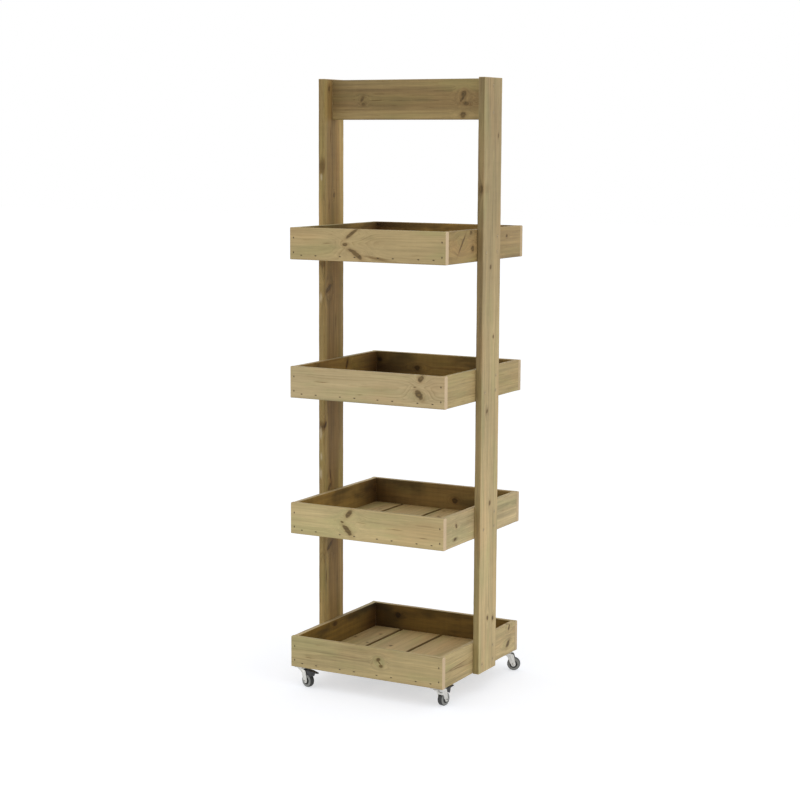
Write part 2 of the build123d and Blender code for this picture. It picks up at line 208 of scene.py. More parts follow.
class CartStudio(bpy.types.PropertyGroup):
    ambient: amount("Ambient", "Strength of the white surround", 0.82)
    key_power: amount("Key", "Large lamp on the right", 25.0, "POWER")
    fill_power: amount("Fill", "Low lamp on the left", 10.0, "POWER")
    floor_size: bpy.props.FloatProperty(
        name="Floor", description="Side of the square floor", default=60.0, unit="LENGTH")


# ---------------------------------------------------------------- surfaces


def outward(mesh):
    """Merge the doubled points of seams and poles and turn every face outwards."""
    shell = bmesh.new()
    shell.from_mesh(mesh)
    bmesh.ops.remove_doubles(shell, verts=shell.verts, dist=1e-6)
    bmesh.ops.dissolve_degenerate(shell, edges=shell.edges, dist=1e-7)
    bmesh.ops.recalc_face_normals(shell, faces=shell.faces)
    shell.to_mesh(mesh)
    shell.free()


def grid_faces(rows, columns, wrap_rows=False, wrap_columns=True):
    """Quads of a grid: each point with its neighbours in the next row and the next column."""
    row, column = np.meshgrid(
        np.arange(rows if wrap_rows else rows - 1),
        np.arange(columns if wrap_columns else columns - 1), indexing="ij")
    next_row, next_column = (row + 1) % rows, (column + 1) % columns
    corners = (row * columns + column, next_row * columns + column,
               next_row * columns + next_column, row * columns + next_column)
    return np.stack(corners, axis=-1).reshape(-1, 4)


def make_piece(name, points, faces, body, slot, node, finish, sharp=50):
    """A finished mesh object that rides on a body and stands for the node it replaces.

    Faces that meet at more than the sharp angle, in degrees, keep a hard edge.
    """
    mesh = bpy.data.meshes.new(name)
    mesh.from_pydata(points.reshape(-1, 3).tolist(), [], [list(map(int, face)) for face in faces])
    outward(mesh)
    mesh.shade_smooth()
    mesh.set_sharp_from_angle(angle=math.radians(sharp))
    piece = bpy.data.objects.new(name, mesh)
    bpy.context.scene.collection.objects.link(piece)
    piece.data.materials.append(bpy.data.materials[finish])
    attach(piece, body)
    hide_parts(node)
    return piece


def repeated(points, faces, places):
    """Copies of a shape, one carried by each 4 by 4 place matrix, as one set of points and faces."""
    flat = np.c_[points.reshape(-1, 3), np.ones(points.size // 3)]
    moved = np.concatenate([(flat @ np.asarray(place).T)[:, :3] for place in places])
    shifted = [[index + copy * len(flat) for index in face]
               for copy in range(len(places)) for face in faces]
    return moved, shifted


def turned(profile, sides=64, along="z"):
    """A profile of (radius, height) pairs swept round the axis: (r cos t, r sin t, h)."""
    radius, height = np.asarray(profile, float).T
    angle = np.linspace(0, 2 * np.pi, sides, endpoint=False)
    x, y = np.outer(radius, np.cos(angle)), np.outer(radius, np.sin(angle))
    z = np.repeat(height[:, None], sides, axis=1)
    points = np.stack((x, z, y) if along == "y" else (x, y, z), axis=-1)
    return points, grid_faces(len(radius), sides)


def mark_painted_shade(piece, place, wear):
    """Store painted shade, wear(r), on a turned piece's points as an attribute, r being the distance from
    the axle.
    """
    points = np.empty(3 * len(piece.data.vertices), dtype=np.float32)
    piece.data.vertices.foreach_get("co", points)
    own = np.c_[points.reshape(-1, 3), np.ones(len(points) // 3)] @ np.array(place.inverted()).T
    value = wear(np.hypot(own[:, 0], own[:, 2])).astype(np.float32)
    piece.data.attributes.new("wear", "FLOAT", "POINT").data.foreach_set("value", value)


def node_span(node):
    """Middle and half size of a node's box at rest."""
    low, high = (np.array(corner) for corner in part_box(node))
    return (low + high) / 2, (high - low) / 2


def caster_frame(name):
    """Matrix of a caster: the origin under its swivel axis and X the way it trails at rest."""
    plate, _ = node_span(f"caster_{name}_plate")
    axle, _ = node_span(f"caster_{name}_axle")
    trail = axle - plate
    heading = math.atan2(trail[1], trail[0])
    return Matrix.Translation((plate[0], plate[1], 0)) @ Matrix.Rotation(heading, 4, "Z")


# ---------------------------------------------------------------- shader nodes


def is_number(value):
    """Whether a value or a wire is a plain number, not a vector or a colour."""
    return value.socket.type == "VALUE" if isinstance(value, Wire) else isinstance(value, (int, float))


class Wire:
    """An output in a shader tree: arithmetic on it places math nodes, for numbers or for vectors."""

    def __init__(self, tree, socket):
        self.tree, self.socket = tree, socket

    def math(self, operation, *others, clamp=False, output=0):
        values = dict(enumerate((self, *others)))
        if all(map(is_number, values.values())):
            return put(self.tree, "ShaderNodeMath", values, operation=operation, use_clamp=clamp)[0]
        return put(self.tree, "ShaderNodeVectorMath", values, operation=operation)[output]

    def __add__(self, other):
        return self.math("ADD", other)

    def __sub__(self, other):
        return self.math("SUBTRACT", other)

    def __truediv__(self, other):
        return self.math("DIVIDE", other)

    def __pow__(self, other):
        return self.math("POWER", other)

    def __mul__(self, other):
        if is_number(self) or not is_number(other):
            return self.math("MULTIPLY", other)
        return put(self.tree, "ShaderNodeVectorMath", {0: self, "Scale": other}, operation="SCALE")[0]

    def __abs__(self):
        return self.math("ABSOLUTE")

    def length(self):
        return self.math("LENGTH", output="Value")

    def parts(self):
        return put(self.tree, "ShaderNodeSeparateXYZ", {0: self})

    def mix(self, first, second):
        """The first colour where this is 0 and the second where it is 1."""
        return put(self.tree, "ShaderNodeMix", {0: self, 6: first, 7: second}, data_type="RGBA")[2]


class Placed:
    """A node in a tree; indexing it by name or number gives one of its outputs."""

    def __init__(self, tree, node):
        self.tree, self.node = tree, node

    def __getitem__(self, key):
        return Wire(self.tree, self.node.outputs[key])


def connect(tree, inputs, values):
    """Give inputs their values or their links."""
    for key, value in values.items():
        if isinstance(value, Wire):
            tree.links.new(value.socket, inputs[key])
        else:
            inputs[key].default_value = value


def put(tree, kind, inputs=None, **settings):
    """A new node with its settings, its input values and its links."""
    node = tree.nodes.new(kind)
    for key, value in settings.items():
        setattr(node, key, value)
    connect(tree, node.inputs, inputs or {})
    return Placed(tree, node)


def step(value, low, high, start=0.0, end=1.0):
    """Smooth change from start to end as the value goes from low to high."""
    return put(value.tree, "ShaderNodeMapRange",
               {"Value": value, "From Min": low, "From Max": high, "To Min": start, "To Max": end},
               interpolation_type="SMOOTHSTEP")["Result"]


def noise(point, stretch, detail=2.0, output="Fac"):
    """Noise with its own frequency along each of the three directions."""
    return put(point.tree, "ShaderNodeTexNoise",
               {"Vector": point * stretch, "Scale": 1.0, "Detail": detail})[output]


def node_group(name, inputs, outputs):
    """An empty shader group, its inputs and its outputs; sockets are given as kind: "names"."""
    group = bpy.data.node_groups.new(name, "ShaderNodeTree")
    for in_out, sockets in (("INPUT", inputs), ("OUTPUT", outputs)):
        for kind, labels in sockets.items():
            for label in labels.split(", "):
                group.interface.new_socket(name=label, in_out=in_out, socket_type=f"NodeSocket{kind}")
    given = Placed(group, group.nodes.new("NodeGroupInput"))
    return group, given, group.nodes.new("NodeGroupOutput").inputs


def group_in(tree, name, inputs):
    """A placed shader group with its values and links."""
    return put(tree, "ShaderNodeGroup", inputs, node_tree=bpy.data.node_groups[name])


def spot_distance(given, ragged, detail, jitter):
    """Distance from a spot's middle over its own half sizes, with a ragged outline."""
    rough = noise(given["Point"], ragged, detail, "Color") - (0.5, 0.5, 0.5)
    local = put(given.tree, "ShaderNodeMapping", {
        "Vector": given["Point"], "Location": given["Place"], "Rotation": given["Turn"],
        "Scale": given["Size"]}, vector_type="TEXTURE")[0]
    return (local + rough * jitter).length()


def knot_group():
    """A branch knot: the rings bend round it, and it darkens to its rim.

    Near is the distance from the knot's middle over its own half sizes, and far the same over the
    reach of its halo. Inside the halo the point is drawn to the knot's line and lifted in depth.
    """
    tree, given, result = node_group(
        "Branch knot", {"Vector": "Point, Place, Turn, Size, Reach", "Float": "Core, Halo, Rim"},
        {"Vector": "Point", "Float": "Core, Halo, Rim"})
    near = spot_distance(given, (70, 110, 60), 3, 0.9)
    found = {"Core": step(near, 0.60, 1.30, 1.0, 0.0), "Halo": step(near, 0.9, 2.4, 1.0, 0.0),
             "Rim": step(abs(near - 0.86), 0.05, 0.32, 1.0, 0.0)}
    away = given["Point"] - given["Place"]
    far = (away / given["Reach"]).length()
    flow = (far * far * -1.0).math("EXPONENT")
    bend = away.parts()["Y"] * flow * -0.75
    lift = flow * (given["Reach"].parts()["Y"] * 0.8)
    shift = put(tree, "ShaderNodeCombineXYZ", {"Y": bend, "Z": lift})[0]
    connect(tree, result, {"Point": given["Point"] + shift,
                           **{key: given[key].math("MAXIMUM", value) for key, value in found.items()}})


def spot_group(name, ragged, detail, jitter, inner, outer):
    """A spot that joins those before it: a streak, a crack or the dark mark round a nail or screw, which is
    a stain round a nail and painted shade round a screw.
    """
    tree, given, result = node_group(
        name, {"Vector": "Point, Place, Turn, Size", "Float": "Before"}, {"Float": "Spot"})
    near = spot_distance(given, ragged, detail, jitter)
    connect(tree, result, {"Spot": given["Before"].math("MAXIMUM", step(near, inner, outer, 1.0, 0.0))})


def softwood_group():
    """Treated softwood: rings round a wandering pith, fibres, dashes, green cast and end grain."""
    tree, given, result = node_group(
        "Treated softwood",
        {"Vector": "Own point, Point, Pith, Half size",
         "Float": "Core, Halo, Rim, Streak, Flake, Mark, Seed, Inside, Corner, Contrast, Heart, "
                  "Side shade, End strength, Ring spacing",
         "Color": "Early, Late, Knot, Green, End, Rough face, Tone, Far tone"},
        {"Color": "Color", "Float": "Roughness, Height"})
    seed = put(tree, "ShaderNodeCombineXYZ", {axis: given["Seed"] for axis in "XYZ"})[0] * 1.37
    point = given["Point"] + seed

    # Growth rings: each darkens outwards and ends sharply, and no two are as strong
    wander = (noise(point, (2.6, 8, 8), 2, "Color") - (0.5, 0.5, 0.5)) * (0, 0.012, 0.012)
    radius = ((given["Point"] + wander - given["Pith"]) * (0, 1, 1)).length()
    rings = radius / given["Ring spacing"] + noise(point, (9, 70, 70)) * 0.8
    phase = rings.math("FRACT")
    late = phase ** 2.6 * step(phase, 0.90, 1.0, 1.0, 0.0)
    strength = put(tree, "ShaderNodeTexWhiteNoise", {"W": rings.math("FLOOR") + given["Seed"]},
                   noise_dimensions="1D")["Value"]
    late = late * step(strength, 0.0, 1.0, 0.25, 1.2)
    late = late * step(noise(point + (3.3, 8.1, 5.2), (6, 26, 26)), 0.36, 0.62, 0.3, 1.0)

    # Figure between the rings, from the finest to the broadest
    fibre = noise(point, (16, 900, 900), 3) - 0.5
    dash = noise(point + (1.9, 4.7, 2.2), (17, 250, 250))
    streak = noise(point, (3.0, 95, 95), 3) - 0.5
    planer = noise(point + (7.3, 0, 0), (85, 5, 5), 1) - 0.5
    cast = step(noise(point + (4.1, 2.3, 7.7), (4.6, 21, 21), 3), 0.47, 0.68)
    warm = step(noise(point + (9.4, 6.1, 1.2), (3.0, 14, 14)), 0.47, 0.68)
    broad = noise(point, (1.7, 13, 13)) - 0.5

    color = late.math("MULTIPLY", 0.85, clamp=True).mix(given["Early"], given["Late"])
    color = (cast * 0.42).mix(color, given["Green"])
    color = (warm * 0.34).mix(color, color * (1.0, 0.84, 0.80))
    dark_dash = step(dash, 0.60, 0.74) * given["Contrast"]
    color = dark_dash.math("MULTIPLY", 0.34, clamp=True).mix(color, given["Late"])
    light = streak * 0.50 + broad * 0.46 + step(dash, 0.42, 0.28) * 0.09 + planer * 0.05 + fibre * 0.26
    color = color * (light * given["Contrast"] + 1.0)

    # Tone along the board, which holds painted light and shade as well as the wood's own tone, its heart and
    # its narrow faces
    place, half = given["Own point"].parts(), given["Half size"].parts()
    run, across = place["X"] / half["X"], place["Y"] / half["Y"]
    color = color * step(run, -1.0, 1.0).mix(given["Tone"], given["Far tone"])
    middle = step(abs(across) + broad * 0.7, 0.35, 0.85, 1.0, 0.0)
    color = given["Heart"].mix(color, middle.mix(color * (1.16, 1.18, 1.10), color * (0.78, 0.70, 0.58)))
    side = step(abs(place["Y"]) - half["Y"], -0.0016, -0.0004) * given["Side shade"]
    color = side.mix(color, color * (0.45, 0.40, 0.30))

    # Knots, which the rough face then darkens with the rest
    color = (given["Halo"] * 0.46).mix(color, color * (0.62, 0.5, 0.4))
    heart = step(phase, 0.2, 0.9).mix(given["Knot"] * 1.35, given["Knot"] * 0.75)
    color = (given["Core"] * 0.92).mix(color, heart)
    color = (given["Rim"] * 0.35).mix(color, given["Knot"] * 0.7)

    # Rough face: a tint that is partly the sawn wood's own tone and partly painted shade inside the tray,
    # painted shade darker low down towards the tray's floor, stained in blotches, and darker by one corner
    # with painted shade and a damp stain together
    rough_face = step(place["Z"] * given["Inside"] - half["Z"], -0.0022, -0.0006)
    # Painted shade: the inside face is darker low down, towards the tray's floor
    low = step(across, -1.0, 0.6, 0.80, 1.0)
    stain = step(noise(point + (6.6, 3.9, 8.8), (7, 17, 17), 3), 0.44, 0.66, 1.14, 0.58)
    rough = color * given["Rough face"] * ((planer * 0.2 + low) * stain)
    # Darker towards one corner: painted shade of the corner together with a damp stain
    corner_shade_and_stain = step(run * given["Corner"] + broad * 0.5, 0.35, 0.98)
    color = rough_face.mix(color, corner_shade_and_stain.mix(rough, rough * (0.36, 0.28, 0.20)))

    # Sawn ends, streaks, torn flakes and driven marks
    end = step(abs(place["X"]) - half["X"], -0.0012, -0.0003) * given["End strength"]
    color = end.mix(color, given["End"] * (late * -0.30 + 1.0))
    color = (given["Streak"] * 0.85).mix(color, color * (0.46, 0.37, 0.26))
    color = (given["Flake"] * 0.8).mix(color, given["Early"] * (0.98, 1.04, 1.25))
    color = (given["Mark"] * 0.72).mix(color, given["Knot"])

    gloss = fibre * 0.22 + 0.62 - late * 0.08 + rough_face * 0.2
    height = late * 0.00014 + fibre * 0.00012 - given["Rim"] * 0.00022
    height = height - given["Mark"] * 0.0006 + planer * 0.00012
    connect(tree, result, {"Color": color, "Roughness": gloss, "Height": height})


def plated_group():
    """Plating or moulded skin: a soft mottle with fine scratches and pits."""
    tree, given, result = node_group(
        "Mottled skin", {"Vector": "Point", "Color": "Base", "Float": "Mottle, Grain, Smoothness"},
        {"Color": "Color", "Float": "Roughness, Height"})
    cloud = noise(given["Point"], (160, 160, 160), 3) - 0.5
    speck = noise(given["Point"], (1500, 1500, 1500)) - 0.5
    scratch = noise(given["Point"], (120, 2600, 900)) - 0.5
    light = (cloud + scratch * 0.5) * given["Mottle"]
    connect(tree, result, {
        "Color": given["Base"] * (light + 1.0), "Height": speck * given["Grain"],
        "Roughness": cloud * 0.25 + given["Smoothness"] + scratch * 0.12})


def start_material(name):
    """A material with its tree, its shader and the object's own coordinates."""
    material = bpy.data.materials.new(name)
    material.use_nodes = True
    tree = material.node_tree
    tree.nodes.clear()
    shader = put(tree, "ShaderNodeBsdfPrincipled")
    put(tree, "ShaderNodeOutputMaterial", {"Surface": shader[0]}).node.is_active_output = True
    return material, tree, shader, put(tree, "ShaderNodeTexCoord")["Object"]


def wire_finish(shader, finish):
    """Colour, roughness and relief of a finish group, into the shader."""
    bump = put(shader.tree, "ShaderNodeBump", {"Height": finish["Height"], "Distance": 1.0, "Strength": 1.0})
    connect(shader.tree, shader.node.inputs, {
        "Base Color": finish["Color"], "Roughness": finish["Roughness"], "Normal": bump[0]})


def listed(table, node, default):
    """The first entry of a table whose name is in a board's name."""
    return next((value for part, value in table.items() if part in node), default)


def spots(kind, own, places):
    """The strongest at each point of a board's spots of one kind, or 0 without any."""
    found = 0.0
    for place, turn, size in places:
        found = group_in(own.tree, kind, {
            "Point": own, "Before": found, "Place": place, "Turn": (0, 0, turn), "Size": size})["Spot"]
    return found


def driven_marks(node, rows, centre, half):
    """Place, turn and size, in the board's own coordinates, of the marks round what is driven in."""
    if node.endswith(("front_board", "back_board")):
        heads = loose_centres("tray_nails")
        heads = heads[(np.abs(heads[:, 2] - centre[2]) < half[1]) & (heads[:, 1] * centre[1] > 0)]
        own = (heads - centre) @ np.array(rows, float).T
        in_slats = own[:, 1] < own[:, 1].min() + 4 * MM
        return [((u, v, 0), 0, STAINS_AND_RECESS_SHADE["slat_nail" if flat else "board_nail"])
                for (u, v, _), flat in zip(own, in_slats)]
    if node.startswith("post"):
        # Round the screws the dark mark is painted shade of their countersunk recesses
        heads = np.concatenate((loose_centres("post_screws"), loose_centres("crossbar_screws")))
        own = (heads[heads[:, 0] * centre[0] > 0] - centre) @ np.array(rows, float).T
        return [((u, v, 0), 0, STAINS_AND_RECESS_SHADE["screw"]) for u, v, _ in own]
    return []


@functools.cache
def loose_centres(node):
    """Middle of each separate fastener of a node, as rows of X, Y and Z."""
    mesh = bmesh.new()
    mesh.from_mesh(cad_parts[node].data)
    bmesh.ops.remove_doubles(mesh, verts=mesh.verts, dist=1e-6)
    waiting, centres = set(mesh.verts), []
    while waiting:
        edge, island = [waiting.pop()], []
        while edge:
            corner = edge.pop()
            island.append(corner.co[:])
            near = {other for link in corner.link_edges for other in link.verts} & waiting
            waiting -= near
            edge.extend(near)
        centres.append((np.min(island, axis=0) + np.max(island, axis=0)) / 2)
    mesh.free()
    centres = np.array(centres)
    return centres[np.lexsort(centres.T)]


def outer_side(node):
    """Which way along w the face that takes nails or screws looks."""
    return {"post_left": 1, "post_right": -1}.get(node, -inner_side(node))


def inner_side(node):
    """Which way, +1 or -1 along w, a board's face inside the tray looks; 0 where it has none."""
    for ending, side in (("front_board", -1), ("back_board", 1), ("left_board", 1), ("right_board", -1)):
        if node.endswith(ending):
            return side
    return 0


def wood_material(node, rows, centre, half, seed):
    """One board's wood, in the board's own coordinates, with its knots and driven marks."""
    wood = bpy.context.scene.cart_wood
    material, tree, shader, place = start_material(f"wood_{node}")
    own = put(tree, "ShaderNodeMapping", {
        "Vector": place, "Location": tuple(-(np.array(rows) @ centre)),
        "Rotation": Matrix(rows).to_euler("XYZ")})[0]
    rng = np.random.default_rng(seed)
    knots = KNOTS.get(node) or [
        (rng.uniform(-0.85, 0.85) * half[0] / MM, rng.uniform(-0.8, 0.8) * half[1] / MM,
         rng.uniform(4, 9), rng.uniform(3, 6), rng.uniform(-60, 60)) for _ in range(rng.integers(1, 4))]
    found = {"Point": own, "Core": 0.0, "Halo": 0.0, "Rim": 0.0}
    for u, v, length, width, tilt, *edge in knots:
        turn = math.radians(tilt)
        size = np.hypot(np.array((math.cos(turn), math.sin(turn))) * length,
                        np.array((math.sin(turn), math.cos(turn))) * width) * MM
        reach = size * KNOT_REACH + KNOT_MARGIN
        knot = group_in(tree, "Branch knot", {
            **found, "Place": (u * MM, v * MM if not edge else -half[1], v * MM if edge else 0),
            "Turn": (math.radians(edge[0]), turn, 0) if edge else (0, 0, turn),
            "Size": (length * MM, width * MM, 0.03 if edge else 1),
            "Reach": (*reach, 0.02 if edge else 1)})
        found = {key: knot[key] for key in found}
    streak = spots("Soft streak", own, [
        ((u * MM, v * MM, 0), math.radians(tilt), (length * MM, width * MM, 1))
        for u, v, length, width, tilt in STREAKS.get(node, ())])
    flake = spots("Soft streak", own, [
        ((u * MM, -half[1], w * MM), 0, (length * MM, width * MM, width * MM))
        for u, w, length, width in FLAKES.get(node, ())])
    mark = spots("Driven mark", own, driven_marks(node, rows, centre, half))
    if isinstance(mark, Wire):
        mark = mark * step(own.parts()["Z"] * outer_side(node), 0.0, half[2] * 0.8)
    # Tones per board, partly the wood's own and partly painted light and shade
    tones_and_light = listed(TONES_AND_LIGHT, node, ((1, 1, 1), (1, 1, 1)))
    batch = rng.uniform(0.97, 1.03)
    pith = (0, rng.uniform(-0.5, 0.5) * half[1], rng.choice((-1, 1)) * rng.uniform(0.018, 0.05))
    values = {
        "Own point": own, "Streak": streak, "Flake": flake, "Mark": mark, "Seed": float(seed),
        "Pith": pith, "Half size": tuple(half), "Inside": float(inner_side(node)),
        "Corner": listed(SHADED_AND_STAINED_ENDS, node, 0.0), "Contrast": listed(CONTRASTS, node, 1.1),
        "Heart": listed(HEARTS, node, 0.0), "Side shade": listed(SIDE_SHADES, node, 0.0),
        "End strength": listed(END_STRENGTHS, node, 0.85),
        "Ring spacing": wood.ring_spacing * rng.uniform(0.8, 1.3)}
    colours = {
        "Early": wood.early, "Late": wood.late, "Knot": wood.knot, "Green": wood.green,
        "End": wood.end_grain, "Rough face": np.array(wood.inside) * listed(INSIDE_TONE_AND_SHADE, node, 1.0),
        "Tone": np.array(tones_and_light[0]) * batch, "Far tone": np.array(tones_and_light[1]) * batch}
    grain = group_in(tree, "Treated softwood", {
        **found, **values, **{key: (*value, 1) for key, value in colours.items()}})
    shader.node.inputs["Specular IOR Level"].default_value = 0.3
    wire_finish(shader, grain)
    return material


def skin_material(name, base, metallic, smoothness, mottle, grain, shade_attribute=None):
    """Plated steel, rubber or moulded plastic; where the painted shade attribute is 1 the skin is painted
    dark as shade.
    """
    _, tree, shader, place = start_material(name)
    color = (*base, 1)
    if shade_attribute:
        wear = put(tree, "ShaderNodeAttribute", attribute_name=shade_attribute)["Fac"]
        color = wear.mix(color, tuple(channel * 0.15 for channel in base) + (1,))
    shader.node.inputs["Metallic"].default_value = metallic
    wire_finish(shader, group_in(tree, "Mottled skin", {
        "Point": place, "Base": color, "Mottle": mottle, "Grain": grain, "Smoothness": smoothness}))


# ---------------------------------------------------------------- boards


def board_section(divisions=4):
    """Round-cornered section: for each point, its place on the flats and its outward direction.

    A point is (a (V - r) + r cos t, b (T - r) + r sin t), with a and b from -1 to 1, for half
    width V, half thickness T and corner radius r.
    """
    steps = np.linspace(0, np.pi / 2, divisions + 1)
    along = np.array([0.985, 0.5, 0.0, -0.5, -0.985])
    a, b, t = [], [], []
    for quarter, (corner_a, corner_b) in enumerate(((1, 1), (-1, 1), (-1, -1), (1, -1))):
        a += [corner_a] * len(steps)
        b += [corner_b] * len(steps)
        t += list(steps + quarter * np.pi / 2)
        side = corner_a * along if quarter % 2 == 0 else corner_b * along
        a += list(side) if quarter % 2 == 0 else [corner_a] * len(side)
        b += [corner_b] * len(side) if quarter % 2 == 0 else list(side)
        t += [(quarter + 1) * np.pi / 2] * len(side)
    return np.array(a), np.array(b), np.array(t)


def board_points(half, seed, arris):
    """A sawn and planed board: the section carried along u, its arris radius changing slowly.

    The radius is r (1 + 0.22 of a sum of sines in u), with a few small knocks, and the last
    sections draw in round a quarter circle to the sawn end.
    """
    wood = bpy.context.scene.cart_wood
    rng = np.random.default_rng(seed)
    half_length, half_width, half_thickness = half
    count = max(int(2 * half_length / wood.station), 8)
    turn = np.linspace(0, np.pi / 2, 4)
    end_u = half_length - wood.end_arris * (1 - np.cos(turn))
    end_inset = wood.end_arris * (1 - np.sin(turn))
    inner = np.linspace(-1, 1, count) * (half_length - 2.5 * wood.end_arris)
    u = np.concatenate(([-half_length], -end_u, inner, end_u[::-1], [half_length]))
    in_most = [2 * wood.end_arris]
    inset = np.concatenate((in_most, end_inset, 0 * inner, end_inset[::-1], in_most))

    waves = sum(np.sin(2 * np.pi * u / length + rng.uniform(0, 6.3)) * size
                for length, size in ((0.19, 0.5), (0.071, 0.3), (0.029, 0.2)))
    a, b, t = board_section()
    knocks = np.zeros((len(u), len(a)))
    for _ in range(6):
        where = rng.uniform(-1, 1) * half_length
        corner = rng.integers(0, 4) * np.pi / 2 + np.pi / 4
        reach = np.exp(-((u - where) / rng.uniform(0.004, 0.011)) ** 2)
        knocks += np.outer(reach, np.cos(np.clip(t - corner, -1.2, 1.2)) ** 8) * rng.uniform(0.2, 0.55)
    radius = arris * (1 + 0.22 * waves)[:, None] * np.ones_like(a)
    radius = np.minimum(radius * (1 + 0.8 * knocks), 0.45 * half_thickness)
    reach = radius - inset[:, None]
    v = a * (half_width - radius) + reach * np.cos(t)
    w = b * (half_thickness - radius) + reach * np.sin(t)
    return np.stack((np.repeat(u[:, None], len(a), axis=1), v, w), axis=-1)


def make_board(node, rows, slot, seed):
    """A board in place of its plain solid, with its wood."""
    centre, half_xyz = node_span(node)
    axes = np.array(rows, float)
    half = np.abs(axes) @ half_xyz
    wood = bpy.context.scene.cart_wood
    points = board_points(half, seed, wood.slat_arris if slot == "slat_wood" else wood.arris)
    faces = grid_faces(*points.shape[:2]).tolist()
    columns, last = points.shape[1], points.shape[0] - 1
    faces.append(list(range(columns)))
    faces.append([last * columns + index for index in range(columns)])
    finish = wood_material(node, rows, centre, half, seed).name
    make_piece(f"{node}_planed", centre + points @ axes, faces, "stand", slot, node, finish, sharp=42)


# ---------------------------------------------------------------- operators


class CartStep(bpy.types.Operator):
    """Shared settings of the cart's steps"""
    bl_options = {"REGISTER", "UNDO"}


class CART_OT_finishes(CartStep):
    """Build the shader groups that the cart's materials share"""
    bl_idname = "cart.finishes"
    bl_label = "Shared finishes"

    def execute(self, context):
        knot_group()
        spot_group("Soft streak", (45, 160, 60), 3, 1.3, 0.2, 1.3)
        spot_group("Driven mark", (260, 700, 300), 2, 0.9, 0.55, 1.25)
        softwood_group()
        plated_group()
        caster = context.scene.cart_caster
        # The rivet and the tyre take painted shade from their wear attribute
        for name, base, metallic, smoothness, mottle, grain, *shade_attribute in (
                ("zinc_plate", caster.zinc, 1.0, 0.34, 0.35, 0.00001),
                ("zinc_rivet", caster.zinc, 1.0, 0.34, 0.35, 0.00001, "wear"),
                ("dull_screw", caster.screw, 1.0, 0.42, 0.5, 0.00001),
                ("dark_nail", caster.nail, 0.55, 0.55, 0.8, 0.00003),
                ("grey_tyre", caster.tyre, 0.0, 0.62, 0.45, 0.00005, "wear"),
                ("dark_core", caster.core, 0.0, 0.45, 0.22, 0.00002),
                ("black_pedal", caster.pedal, 0.0, 0.42, 0.4, 0.00006)):
            skin_material(name, base, metallic, smoothness, mottle, grain, *shade_attribute)
        return {"FINISHED"}


class CART_OT_posts(CartStep):
    """Make the two upright posts"""
    bl_idname = "cart.posts"
    bl_label = "Posts"

    def execute(self, context):
        make_board("post_left", UPRIGHT, "post_wood", 11)
        make_board("post_right", UPRIGHT, "post_wood", 12)
        return {"FINISHED"}


class CART_OT_crossbar(CartStep):
    """Make the crossbar between the posts"""
    bl_idname = "cart.crossbar"
    bl_label = "Crossbar"

    def execute(self, context):
        make_board("crossbar", ALONG_X, "post_wood", 13)
        return {"FINISHED"}


class CART_OT_tray_boards(CartStep):
    """Make the four boards round each tray"""
    bl_idname = "cart.tray_boards"
    bl_label = "Tray boards"

    def execute(self, context):
        for level in LEVELS:
            for number, (side, rows) in enumerate((
                    ("front", ALONG_X), ("back", ALONG_X), ("left", ALONG_Y), ("right", ALONG_Y))):
                make_board(f"tray_{level}_{side}_board", rows, "board_wood", 20 + 4 * level + number)
        return {"FINISHED"}


class CART_OT_slats(CartStep):
    """Make the floor slats of the trays"""
    bl_idname = "cart.slats"
    bl_label = "Floor slats"

    def execute(self, context):
        for level in LEVELS:
            for number in range(1, 5):
                make_board(f"tray_{level}_slat_{number}", FLAT_ALONG_Y, "slat_wood", 50 + 4 * level + number)
        return {"FINISHED"}


def dress(node, material):
    """Give a node that keeps its shape its finish, with a weld of its doubled points."""
    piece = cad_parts[node]
    piece.data.materials.clear()
    piece.data.materials.append(bpy.data.materials[material])
    weld = piece.modifiers.new("Weld", "WELD")
    weld.merge_threshold = 0.005 * MM
    return piece


def round_edges(piece, width, segments=2):
    """Round the edges that turn by more than 35 degrees."""
    bevel = piece.modifiers.new("Bevel", "BEVEL")
    bevel.width = width
    bevel.segments = segments
    bevel.limit_method = "ANGLE"
    bevel.angle_limit = math.radians(35)


class CART_OT_nails(CartStep):
    """Finish the nails in the front and back boards"""
    bl_idname = "cart.nails"
    bl_label = "Nails"

    def execute(self, context):
        round_edges(dress("tray_nails", "dark_nail"), 0.15 * MM, 1)
        return {"FINISHED"}


